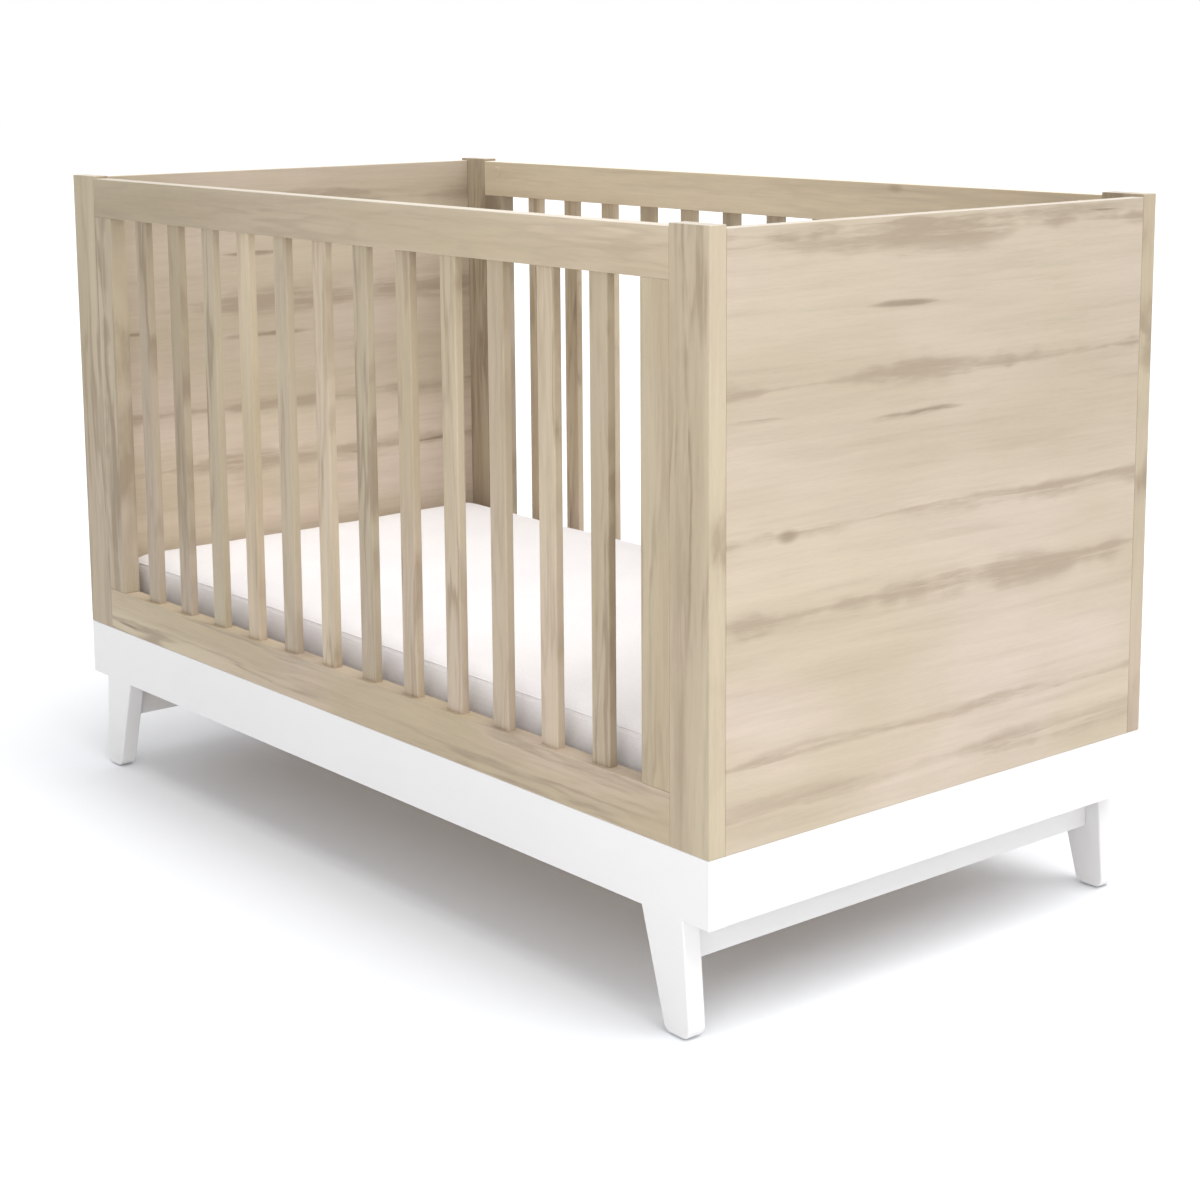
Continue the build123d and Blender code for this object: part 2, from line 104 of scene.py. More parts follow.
class Graph:
    # a node tree with a short way to add nodes
    def __init__(self, tree):
        self.tree = tree

    def add(self, kind, settings=None, inputs=None, output=0):
        node = self.tree.nodes.new(kind)
        for key, value in (settings or {}).items():
            setattr(node, key, value)
        for key, value in (inputs or {}).items():
            if isinstance(value, Wire):
                self.tree.links.new(value.socket, node.inputs[key])
            else:
                node.inputs[key].default_value = value
        return Wire(self, node.outputs[output])

    def mix(self, factor, first, second, blend="MIX"):
        # colours, which a Math node would turn grey
        first = first if isinstance(first, Wire) else (*first, 1.0)
        second = second if isinstance(second, Wire) else (*second, 1.0)
        settings = {"data_type": "RGBA", "blend_type": blend}
        return self.add("ShaderNodeMix", settings, {0: factor, 6: first, 7: second}, 2)

    def place(self):
        # x, y and z of the object coordinates
        coordinates = self.add("ShaderNodeTexCoord", output=3)
        return [self.add("ShaderNodeSeparateXYZ", None, {0: coordinates}, i) for i in range(3)]

    def whole(self, wire):
        return self.add("ShaderNodeMath", {"operation": "FLOOR"}, {0: wire})

    def point(self, x, y, z):
        return self.add("ShaderNodeCombineXYZ", None, {0: x, 1: y, 2: z})

    def noise(self, point, scale, detail=2.0, roughness=0.5, distortion=0.0):
        inputs = {"Vector": point, "Scale": scale, "Detail": detail, "Roughness": roughness,
                  "Distortion": distortion}
        return self.add("ShaderNodeTexNoise", None, inputs)

    def bump(self, height, strength, distance):
        inputs = {"Height": height, "Strength": strength, "Distance": distance}
        return self.add("ShaderNodeBump", None, inputs)

    def skin(self, constants, **wires):
        # the one shader of a finish
        shader = self.tree.nodes["Principled BSDF"]
        for key, value in constants.items():
            shader.inputs[key].default_value = value
        for key, wire in wires.items():
            self.tree.links.new(wire.socket, shader.inputs[key.replace("_", " ")])


def newFinish(name):
    material = bpy.data.materials.new(name)
    material.use_nodes = True
    return material, Graph(material.node_tree)


# what each wood looks like: the run of its grain, its marks and its tones, some of them painted light and
# shade set by place
# an axis is 0, 1 or 2 for x, y or z; a streak is (height, width, strength)
# and a dash (height, centre, half its length, thickness)
oakPanel = {"along": 1, "across": 2, "depth": 0, "seed": 3.1, "sway": 0.016, "mirror": 0.035,
            "pieces": 0.0, "postEdge": 0.659, "rim": True, "topHighlightTone": (0.80, 0.74, 0.65), "topHighlightBy": 0.70,
            "streaks": ((0.902, 0.016, 0.8), (0.742, 0.017, 1.0), (0.578, 0.011, 0.9),
                        (0.486, 0.018, 0.95), (0.322, 0.008, 0.7), (0.270, 0.016, 0.60),
                        (0.915, 0.009, 0.8)),
            "dashes": ((0.824, -0.08, 0.085, 0.006), (0.711, -0.315, 0.070, 0.005),
                       (0.694, -0.06, 0.120, 0.007)),
            "ridge": 0.28, "fade": (0.42, 0.62), "calm": 1.0, "figure": 9.0, "rings": 0.14,
            "halfTonesAndLight": (0.68, 0.5), "paintedFalloff": 0.0, "glow": 0.40, "innerFace": (-0.718, -0.712),
            "glowSpan": (0.36, 0.66),
            "brushBy": 0.24, "streakBy": 0.82, "crackBy": 0.80, "knotBy": 0.65,
            "light": (0.528, 0.448, 0.338), "mid": (0.464, 0.388, 0.284), "rosy": (0.562, 0.468, 0.392),
            "streak": (0.340, 0.270, 0.195), "crack": (0.235, 0.180, 0.125)}
oakRail = {**oakPanel, "along": 0, "across": 2, "depth": 1, "seed": 7.7, "streaks": (), "dashes": (),
           "ridge": 1.0, "fade": (0.30, 0.54), "calm": 0.30, "figure": 24.0, "rings": 0.36,
           "halfTonesAndLight": (0.42, 1.35), "paintedFalloff": 0.32, "glow": 0.0,
           "light": (0.570, 0.484, 0.346), "mid": (0.456, 0.368, 0.248), "rosy": (0.535, 0.432, 0.335)}
oakUpright = {**oakRail, "along": 2, "across": 0, "depth": 1, "seed": 12.4, "ridge": 0.90, "figure": 27.0,
              "pieces": 0.09646, "boards": 14918.5, "postLot": 0.26, "leftStile": (-0.612, -0.606),
              "leftShadeBy": 0.45, "calm": 1.0, "streaks": ((0.683, 0.016, 0.55), (-0.640, 0.022, 0.9)),
              "streak": (0.330, 0.252, 0.170)}
pineSlat = {**oakUpright, "along": 1, "across": 0, "depth": 2, "seed": 21.0, "light": (0.72, 0.57, 0.38),
            "mid": (0.63, 0.47, 0.29), "rosy": (0.70, 0.52, 0.35), "streak": (0.47, 0.31, 0.17),
            "crack": (0.30, 0.16, 0.07), "pieces": 0.0, "rim": False, "streaks": (), "halfTonesAndLight": (0.5, 0.5)}
pineRail = {**pineSlat, "along": 0, "across": 1, "depth": 2, "seed": 27.0}
beech = {**pineRail, "seed": 33.0, "light": (0.66, 0.42, 0.26), "mid": (0.58, 0.35, 0.20)}
wallSpan = (0.30, 0.85)   # from low to high on the wooden walls
middle = (-0.1, 0.1)      # from the front half to the back half, or from left to right


def woodFinish(name, look):
    # long grain, wavy taupe streaks with one frayed side, short cracks and a few small knots
    material, g = newFinish(name)
    axes = g.place()
    along, across, depth = axes[look["along"]], axes[look["across"]], axes[look["depth"]]
    seed = look["seed"]
    sway = g.noise(g.point(along * 1.3 + seed, across * 1.6, depth * 1.6), 1.0, 2.0) - 0.5
    if look["pieces"]:
        # each upright is cut from another board, and the corner posts all take one set tone
        outer = g.add("ShaderNodeMath", {"operation": "GREATER_THAN"}, {0: abs(across), 1: look["postEdge"]})
        cell = g.whole(across / look["pieces"]) * (1.0 - outer) + outer * (20.0 + g.whole(across))
        place = g.point(cell + look["boards"], g.whole(depth), 0.0)
        board = g.add("ShaderNodeTexWhiteNoise", {"noise_dimensions": "2D"}, {"Vector": place})
        depth = depth + board * 7.0
        # the posts are given a lower tone, and the stiles on the left are made deeper still, a painted shade
        # that stands in for light falling off towards the left
        toneAndPaintedLight = board * (1.0 - outer) + outer * look["postLot"]
        paintedLeftShade = (1.0 - outer) * across.ramp(*look["leftStile"], 1.0, 0.0)
        toneAndPaintedLight = toneAndPaintedLight - paintedLeftShade * look["leftShadeBy"]
    else:
        # each half takes its own tone; on the rails the lighter back rail is painted light, standing in for
        # the light inside the crib. Every wall is also lighter lower down, a painted bounce light
        toneAndPaintedLight = depth.ramp(*middle, *look["halfTonesAndLight"]) + axes[2].ramp(*wallSpan, 0.18, -0.06)
        # painted light: the upper board at the front is lighter towards its right end, standing in for light
        # falling off towards the left
        paintedFalloff = along.ramp(-0.7, 0.7, -look["paintedFalloff"], look["paintedFalloff"]) * axes[2].ramp(*wallSpan)
        toneAndPaintedLight = toneAndPaintedLight + paintedFalloff * depth.ramp(*middle, 1.0, 0.0)
        # and the left panel is lighter inside, just above the mattress: a painted bounce light from the
        # mattress
        inside = depth.ramp(*look["innerFace"]) * depth.ramp(*middle, look["glow"], 0.0)
        toneAndPaintedLight = toneAndPaintedLight + inside * axes[2].ramp(*look["glowSpan"], 1.0, 0.0)
    bent = across + sway * look["sway"]
    shiver = g.noise(g.point(along * 4.0, across * 27.0 + seed, depth * 7.0), 1.0, 5.0, 0.6, 0.3) - 0.5
    frayed = bent + shiver * 0.020
    tone = g.noise(g.point(along * 0.9 + seed, bent * 13.0, depth * 9.0), 1.0, 2.0)
    brush = g.noise(g.point(along * 3.2, bent * 60.0 + seed, depth * 30.0), 1.0, 4.0, 0.6)
    patch = g.noise(g.point(along * 3.0 + seed, across * 6.0, depth * 3.0), 1.0, 2.0)
    fine = g.noise(g.point(along * 10.0, bent * 210.0 + seed, depth * 210.0), 1.0, 4.0, 0.6)
    pores = g.noise(g.point(along * 55.0, bent * 1000.0, depth * 1000.0 + seed), 1.0, 2.0, 0.6)
    # free streaks lie where a stretched noise crosses its middle
    figure = look["figure"]
    field = g.noise(g.point(along * 0.08 * figure + seed, frayed * figure, depth * 2.5), 1.0, 3.0, 0.55)
    fade = g.noise(g.point(along * 2.2, bent * 6.0 - seed, depth * 2.0), 1.0, 2.0).ramp(*look["fade"])
    streak = (1.0 - abs(field - 0.5).ramp(0.0, 0.060)) * fade * look["ridge"]
    # and are calmer on the boards higher up
    streak = streak * across.ramp(*wallSpan, 1.0, look["calm"])
    # growth rings show as fine lines that follow the same noise
    wave = g.add("ShaderNodeMath", {"operation": "PINGPONG"}, {0: field * 13.0, 1: 1.0})
    rings = wave.ramp(0.45, 1.0) * patch.ramp(0.40, 0.66, 0.25, 1.0) * look["rings"]
    # the marks at given heights lie a little lower on the left panel
    shift = depth.ramp(*middle, look["mirror"], 0.0)
    for number, (level, width, strength) in enumerate(look["streaks"]):
        swell = g.noise(g.point(along * 3.4 + number * 5.0, across * 2.0, depth * 4.0), 1.0, 4.0, 0.62)
        reach = swell.ramp(0.33, 0.66, 0.12 * width, 1.55 * width)
        side = -1.0 if number % 3 == 1 else 1.0
        off = (frayed - level + shift) * side / reach
        band = off.ramp(-1.9, -0.10) * (1.0 - off.ramp(0.0, 1.2))
        streak = streak + band * swell.ramp(0.30, 0.54, 0.35, 1.0) * strength
    torn = g.noise(g.point(along * 7.0, frayed * 95.0 + seed, depth * 30.0), 1.0, 4.0, 0.62)
    streakMask = (streak * torn.ramp(0.30, 0.60, 0.35, 1.0)).ramp(0.0, 1.0)
    crackField = g.noise(g.point(along * 6.0 + seed, bent * 85.0, depth * 12.0), 1.0, 2.0)
    crackMask = crackField.ramp(0.69, 0.75) * (0.12 + streakMask)
    for level, centre, halfLength, thickness in look["dashes"]:
        taper = 1.0 - (abs(along - centre) / halfLength).ramp(0.25, 1.0)
        line = 1.0 - (abs(frayed - level + shift) / (thickness * (0.10 + taper))).ramp(0.10, 1.0)
        crackMask = crackMask + line * taper * torn.ramp(0.30, 0.55, 0.25, 0.8)
    knotCell = g.add("ShaderNodeTexVoronoi", None,
                     {"Vector": g.point(along * 3.2 + seed, across * 6.5, depth * 2.0), "Scale": 1.0})
    knotMask = 1.0 - knotCell.ramp(0.015, 0.075)
    color = g.mix(tone.ramp(0.32, 0.68), look["light"], look["mid"])
    # rosier lower down
    rosy = patch.ramp(0.35, 0.68, 0.0, 0.75) * axes[2].ramp(*wallSpan, 1.2, 0.60)
    color = g.mix(rosy, color, look["rosy"])
    color = g.mix(brush.ramp(0.48, 0.74, 0.0, look["brushBy"]), color, look["streak"])
    color = g.mix(rings, color, look["streak"])
    color = g.mix(streakMask * look["streakBy"], color, look["streak"])
    color = g.mix(crackMask.ramp(0.0, 1.0) * look["crackBy"], color, look["crack"])
    color = g.mix(knotMask * look["knotBy"], color, look["crack"])
    if look["rim"]:
        # a painted highlight: faces turned up at the top are made paler, standing in for light caught along
        # the top edges
        facing = g.add("ShaderNodeSeparateXYZ", None, {0: g.add("ShaderNodeNewGeometry", output=1)}, 2)
        rim = facing.ramp(0.45, 0.90) * axes[2].ramp(0.860, 0.866)
        color = g.mix(rim * look["topHighlightBy"], color, look["topHighlightTone"])
    grainAndPaintedLight = fine.ramp(0.30, 0.70, 0.965, 1.02) * pores.ramp(0.25, 0.60, 0.95, 1.0)
    # the board tone, with the painted light and shade set above, scales the colour
    grainAndPaintedLight = grainAndPaintedLight * (0.80 + toneAndPaintedLight * 0.32)
    shade = g.add("ShaderNodeCombineColor", None, {0: grainAndPaintedLight, 1: grainAndPaintedLight, 2: grainAndPaintedLight})
    color = g.mix(1.0, color, shade, "MULTIPLY")
    height = fine * 0.5 + pores * 0.4 - crackMask * 0.8 - streakMask * 0.2
    g.skin({"Specular IOR Level": 0.35}, Base_Color=color, Roughness=0.50 + fine * 0.16 + streakMask * 0.06,
           Normal=g.bump(height, 0.20, 0.0006))
    return material


def lacquerFinish(name):
    # sprayed satin white with a faint orange peel
    material, g = newFinish(name)
    x, y, z = g.place()
    spot = g.point(x, y, z)
    cloud = g.noise(spot, 4.0, 3.0)
    peel = g.noise(spot, 420.0, 2.0)
    dust = g.noise(spot, 60.0, 3.0)
    color = g.mix(cloud.ramp(0.3, 0.7), (0.778, 0.766, 0.762), (0.762, 0.750, 0.746))
    g.skin({"Coat Roughness": 0.25}, Base_Color=color, Roughness=0.34 + dust * 0.10,
           Coat_Weight=0.10 + cloud * 0.08, Normal=g.bump(peel, 0.05, 0.0004))
    return material


def knitFinish(name):
    # small knitted cells, a loose slub and the faint lilac cast of a washed white cover
    material, g = newFinish(name)
    x, y, z = g.place()
    spot = g.point(x, y, z)
    loops = g.add("ShaderNodeTexVoronoi", {"feature": "SMOOTH_F1"}, {"Vector": spot, "Scale": 420.0})
    slub = g.noise(g.point(x * 14.0, y * 60.0, z * 60.0), 1.0, 3.0)
    cloud = g.noise(spot, 5.0, 3.0)
    color = g.mix(cloud.ramp(0.3, 0.7), (0.90, 0.880, 0.890), (0.86, 0.835, 0.855))
    color = g.mix(loops.ramp(0.25, 0.75, 0.0, 0.20), color, (0.74, 0.71, 0.73))
    g.skin({"Sheen Weight": 0.25, "Sheen Roughness": 0.5, "Specular IOR Level": 0.2},
           Base_Color=color, Roughness=0.84 + slub * 0.12, Normal=g.bump(slub * 0.4 - loops, 0.35, 0.0007))
    return material


def threadFinish(name):
    # twisted sewing thread
    material, g = newFinish(name)
    x, y, z = g.place()
    twist = g.add("ShaderNodeTexWave", {"bands_direction": "DIAGONAL"},
                  {"Vector": g.point(x, y, z), "Scale": 900.0, "Distortion": 1.0})
    color = g.mix(twist, (0.80, 0.78, 0.78), (0.90, 0.885, 0.885))
    g.skin({"Sheen Weight": 0.3}, Base_Color=color, Roughness=0.62 + twist * 0.2,
           Normal=g.bump(twist, 0.3, 0.0002))
    return material


def zincFinish(name, light, dark, rough):
    # plated steel with spangle, fine scratches and dull spots
    material, g = newFinish(name)
    x, y, z = g.place()
    spot = g.point(x, y, z)
    spangle = g.add("ShaderNodeTexVoronoi", None, {"Vector": spot, "Scale": 260.0})
    scratch = g.noise(g.point(x * 900.0, y * 60.0, z * 60.0), 1.0, 3.0)
    dull = g.noise(spot, 45.0, 3.0)
    color = g.mix(spangle.ramp(0.1, 0.9), light, dark)
    color = g.mix(dull.ramp(0.5, 0.75, 0.0, 0.5), color, (0.36, 0.35, 0.34))
    g.skin({}, Base_Color=color, Metallic=dull.ramp(0.45, 0.85, 1.0, 0.75),
           Roughness=rough + dull * 0.2 + scratch * 0.08, Normal=g.bump(scratch, 0.08, 0.0002))
    return material


def plasticFinish(name):
    # moulded glide, scuffed underneath
    material, g = newFinish(name)
    x, y, z = g.place()
    scuff = g.noise(g.point(x, y, z), 700.0, 4.0)
    color = g.mix(scuff.ramp(0.45, 0.7), (0.74, 0.74, 0.73), (0.58, 0.57, 0.55))
    g.skin({}, Base_Color=color, Roughness=0.48 + scuff * 0.25, Normal=g.bump(scuff, 0.15, 0.0002))
    return material


finishes = {
    "panel": woodFinish("oakLaminatePanel", oakPanel),
    "rail": woodFinish("oakLaminateRail", oakRail),
    "upright": woodFinish("oakLaminateUpright", oakUpright),
    "pineSlat": woodFinish("planedPineSlat", pineSlat),
    "pineRail": woodFinish("planedPineRail", pineRail),
    "beech": woodFinish("beechDowel", beech),
    "white": lacquerFinish("satinWhiteLacquer"),
    "knit": knitFinish("mattressKnit"),
    "thread": threadFinish("coverThread"),
    "zinc": zincFinish("zincPlate", (0.66, 0.67, 0.68), (0.54, 0.55, 0.57), 0.30),
    "cast": zincFinish("castZinc", (0.50, 0.50, 0.51), (0.42, 0.42, 0.43), 0.42),
    "plastic": plasticFinish("glidePlastic"),
}

nodeFinish = {
    "end_panel": "panel", "top_rail": "rail", "bottom_rail": "rail", "corner_post": "upright",
    "stile": "upright", "slat": "upright", "plinth": "white", "leg_front": "white", "leg_back": "white",
    "cross_rail": "white", "base_slats": "pineSlat", "base_rail": "pineRail", "dowels": "beech",
    "base_brackets": "zinc", "base_bolts": "zinc", "bracket_screws": "zinc", "leg_bolts": "zinc",
    "cam_bolts": "zinc", "cam_locks": "cast", "foot_glides": "plastic", "mattress": "knit",
}


def dress(obj, material):
    obj.data.materials.clear()
    obj.data.materials.append(material)


for nodeName, node in frame["nodes"].items():
    start = next(key for key in nodeFinish if nodeName.startswith(key))
    dress(node, finishes[nodeFinish[start]])
print("finishes on the frame:", len(finishes))


def newObject(name, mesh):
    obj = bpy.data.objects.new(name, mesh)
    bpy.context.scene.collection.objects.link(obj)
    return obj


def baked(obj):
    # the mesh with its modifiers applied
    view = bpy.context.evaluated_depsgraph_get()
    view.update()
    return bpy.data.meshes.new_from_object(obj.evaluated_get(view), depsgraph=view)


def settle(obj, mesh):
    # the result replaces the working mesh, and no modifier is left
    obj.modifiers.clear()
    obj.data = mesh


def meshOf(name, bm):
    mesh = bpy.data.meshes.new(name)
    bm.to_mesh(mesh)
    bm.free()
    return mesh


def turnedRings(bm, rim, radius, height, profile):
    # a ring of points for each pair of shares, of the radius and of the height
    return [[bm.verts.new((radius * share * math.cos(2 * math.pi * i / rim),
                           radius * share * math.sin(2 * math.pi * i / rim),
                           height * rise)) for i in range(rim)] for share, rise in profile]


def closedShell(name, bm, rings):
    # walls between the rings and a face at either end, all turned outwards
    for first, second in zip(rings, rings[1:]):
        for i in range(len(first)):
            j = (i + 1) % len(first)
            bm.faces.new((first[i], first[j], second[j], second[i]))
    bm.faces.new(rings[-1])
    bm.faces.new(rings[0][::-1])
    bmesh.ops.recalc_face_normals(bm, faces=bm.faces[:])
    return newObject(name, meshOf(name, bm))


def shadeSmooth(obj):
    obj.data.polygons.foreach_set("use_smooth", [True] * len(obj.data.polygons))
    obj.data.update()


# the mattress, a foam core swollen against its cover by a cloth pass
mattressLook = {"startInset": 0.004, "startDrop": 0.006, "edge": 0.024, "voxel": 0.010, "pressure": 4.0,
                "weight": 0.3, "stretch": 18, "bend": 2, "frames": 20, "cap": 0.008, "ripple": 0.0009,
                "rippleScale": 9, "standProud": 0.004, "sideProud": 0.002, "fill": 0.9}


def mattressBlank(low, high):
    # a rounded block a little smaller than the finished mattress
    inset, drop = mattressLook["startInset"], mattressLook["startDrop"]
    size = Vector((high.x - low.x - 2 * inset, high.y - low.y - 2 * inset, high.z - low.z - drop))
    bm = bmesh.new()
    bmesh.ops.create_cube(bm, size=1.0)
    bmesh.ops.scale(bm, vec=size, verts=bm.verts)
    bmesh.ops.translate(bm, vec=(low + high) / 2 - Vector((0, 0, drop / 2)), verts=bm.verts)
    bmesh.ops.bevel(bm, geom=bm.edges[:], offset=mattressLook["edge"], segments=4, affect="EDGES",
                    profile=0.6)
    return meshOf("mattressPad", bm)


def swell(obj, low, high):
    # the cloth pass, each point held to a short way from where it began
    cloth = obj.modifiers.new("swell", "CLOTH")
    cloth.settings.quality = 4
    cloth.settings.mass = mattressLook["weight"]
    cloth.settings.tension_stiffness = mattressLook["stretch"]
    cloth.settings.compression_stiffness = mattressLook["stretch"]
    cloth.settings.bending_stiffness = mattressLook["bend"]
    cloth.settings.use_pressure = True
    cloth.settings.uniform_pressure_force = mattressLook["pressure"]
    cloth.settings.effector_weights.gravity = 0
    cloth.collision_settings.use_collision = False
    scene = bpy.context.scene
    before = [v.co.copy() for v in obj.data.vertices]
    for number in range(mattressLook["frames"]):
        scene.frame_set(number + 1)
    moved = baked(obj)
    scene.frame_set(1)
    for vertex, start in zip(moved.vertices, before):
        move = vertex.co - start
        if move.length > mattressLook["cap"]:
            move *= mattressLook["cap"] / move.length
        vertex.co = start + move
    settle(obj, moved)


low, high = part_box("mattress")
pad = newObject("mattressPad", mattressBlank(low, high))
remesh = pad.modifiers.new("grid", "REMESH")
remesh.mode = "VOXEL"
remesh.voxel_size = mattressLook["voxel"]
settle(pad, baked(pad))
swell(pad, low, high)
print("mattress swollen:", len(pad.data.vertices), "points")

soften = pad.modifiers.new("soften", "SMOOTH")
soften.factor = 0.5
soften.iterations = 3
finer = pad.modifiers.new("finer", "SUBSURF")
finer.levels = finer.render_levels = 1
settle(pad, baked(pad))

sideProud, scale = mattressLook["sideProud"], mattressLook["rippleScale"]
for vertex in pad.data.vertices:
    p = vertex.co
    lift = noise.noise(Vector((p.x * scale, p.y * scale, p.z * scale))) * mattressLook["ripple"]
    if p.z > (low.z + high.z) / 2:
        p.z += lift
    # it lies flat on the slats and stays inside its place
    p.z = min(max(p.z, low.z), high.z + mattressLook["standProud"])
    p.x = min(max(p.x, low.x - sideProud), high.x + sideProud)
    p.y = min(max(p.y, low.y - sideProud), high.y + sideProud)
shadeSmooth(pad)
dress(pad, finishes["knit"])
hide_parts("mattress")
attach(pad, "mattress")


# piping and stitches round the mattress, with levels above its underside
seamLook = {"levels": (0.014, 0.086), "steps": 360, "piping": 0.0011, "pipingOut": 0.0004,
            "stitchPitch": 0.0065, "stitchLength": 0.0038, "stitchRadius": 0.00045, "stitchDrop": 0.0052,
            "stitchOut": 0.0001}


def seamLoop(name, level, outward):
    # a closed line of points on the mattress side, found by looking outwards from its middle
    tree = BVHTree.FromObject(pad, bpy.context.evaluated_depsgraph_get())
    bm = bmesh.new()
    halfX, halfY = (high.x - low.x) / 2, (high.y - low.y) / 2
    path = []
    perimeter = 4 * (halfX + halfY)
    corners = ((-1, -1), (1, -1), (1, 1), (-1, 1))
    sides = tuple(zip(corners, corners[1:] + corners[:1]))
    for step in range(seamLook["steps"]):
        run = perimeter * step / seamLook["steps"]
        for edgeStart, edgeEnd in sides:
            edgeLength = 2 * (halfX if edgeStart[1] == edgeEnd[1] else halfY)
            if run <= edgeLength:
                share = run / edgeLength
                x = halfX * (edgeStart[0] + (edgeEnd[0] - edgeStart[0]) * share)
                y = halfY * (edgeStart[1] + (edgeEnd[1] - edgeStart[1]) * share)
                break
            run -= edgeLength
        origin = Vector((x * 0.9, y * 0.8, level))
        heading = Vector((x * 0.1, y * 0.2, 0)).normalized()
        hit = tree.ray_cast(origin, heading)[0]
        path.append(hit + heading * outward)
    verts = [bm.verts.new(p) for p in path]
    for first, second in zip(verts, verts[1:] + verts[:1]):
        bm.edges.new((first, second))
    return newObject(name, meshOf(name, bm))


class Tree(Graph):
    # a geometry nodes tree with named inputs
    def __init__(self, name, inputs):
        group = bpy.data.node_groups.new(name, "GeometryNodeTree")
        super().__init__(group)
        face = group.interface
        face.new_socket("Geometry", in_out="INPUT", socket_type="NodeSocketGeometry")
        self.ids = {}
        for key, (kind, value) in inputs.items():
            socket = face.new_socket(key, in_out="INPUT", socket_type=kind)
            if value is not None:
                socket.default_value = value
            self.ids[key] = socket.identifier
        face.new_socket("Geometry", in_out="OUTPUT", socket_type="NodeSocketGeometry")
        self.entry = group.nodes.new("NodeGroupInput")

    def given(self, key):
        return Wire(self, self.entry.outputs[key])

    def close(self, geometry, material):
        # real geometry with its own material
        solid = self.add("GeometryNodeRealizeInstances", None, {0: geometry})
        painted = self.add("GeometryNodeSetMaterial", None, {"Geometry": solid, "Material": material})
        exitNode = self.tree.nodes.new("NodeGroupOutput")
        self.tree.links.new(painted.socket, exitNode.inputs[0])

    def run(self, obj, **values):
        # the sizes go in by socket identifier, and the result becomes a plain mesh
        modifier = obj.modifiers.new(self.tree.name, "NODES")
        modifier.node_group = self.tree
        for key, value in values.items():
            modifier[self.ids[key]] = value
        settle(obj, baked(obj))


def pipingTree():
    t = Tree("pipingSweep", {"Radius": ("NodeSocketFloat", 0.002)})
    line = t.add("GeometryNodeMeshToCurve", None, {"Mesh": t.given("Geometry")})
    ring = t.add("GeometryNodeCurvePrimitiveCircle", None, {"Resolution": 8, "Radius": t.given("Radius")})
    tube = t.add("GeometryNodeCurveToMesh", None, {"Curve": line, "Profile Curve": ring})
    t.close(tube, finishes["knit"])
    return t


def stitchTree():
    t = Tree("stitchRow", {"Pitch": ("NodeSocketFloat", 0.006), "Length": ("NodeSocketFloat", 0.004),
                           "Radius": ("NodeSocketFloat", 0.0005)})
    line = t.add("GeometryNodeMeshToCurve", None, {"Mesh": t.given("Geometry")})
    marks = t.tree.nodes.new("GeometryNodeCurveToPoints")
    marks.mode = "LENGTH"
    t.tree.links.new(line.socket, marks.inputs["Curve"])
    t.tree.links.new(t.given("Pitch").socket, marks.inputs["Length"])
    stitch = t.add("GeometryNodeMeshCylinder", None,
                   {"Vertices": 6, "Radius": t.given("Radius"), "Depth": t.given("Length")})
    turned = Wire(t, marks.outputs["Rotation"])
    row = t.add("GeometryNodeInstanceOnPoints", None,
                {"Points": Wire(t, marks.outputs["Points"]), "Instance": stitch, "Rotation": turned})
    t.close(row, finishes["thread"])
    return t


piping, stitching = pipingTree(), stitchTree()
for place, level in zip(("low", "high"), seamLook["levels"]):
    edging = seamLoop(f"mattressPiping_{place}", low.z + level, seamLook["pipingOut"])
    piping.run(edging, Radius=seamLook["piping"])
    shadeSmooth(edging)
    side = 1 if place == "low" else -1
    row = seamLoop(f"mattressStitches_{place}", low.z + level + side * seamLook["stitchDrop"],
                   seamLook["stitchOut"])
    stitching.run(row, Pitch=seamLook["stitchPitch"], Length=seamLook["stitchLength"],
                  Radius=seamLook["stitchRadius"])
    for piece in (edging, row):
        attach(piece, "mattress")
print("mattress seams made")


# screws that hold the base slats to their rails
screwLook = {"radius": 0.0040, "height": 0.0010, "recess": 0.0026, "slot": 0.0009, "spread": 0.030,
             "rim": 20, "slats": 12, "slatWidth": 0.060}


def screwHead():
    # a low domed head with a cross recess
    bm = bmesh.new()
    rim, height = screwLook["rim"], screwLook["height"]
    dome = ((1.0, 0.0), (0.93, 0.55), (0.72, 0.9), (0.50, 1.0))
    rings = turnedRings(bm, rim, screwLook["radius"], height, dome)
    # the last ring dips to a cross: two points in every five stay out, the rest fall in
    inner = []
    for i in range(rim):
        arm = i % 5 in (0, 1)
        reach = screwLook["recess"] * 0.5 if arm else screwLook["slot"] * 0.7
        angle = 2 * math.pi * i / rim
        inner.append(bm.verts.new((reach * math.cos(angle), reach * math.sin(angle), -height * 0.4)))
    return closedShell("slatScrewHead", bm, rings + [inner])


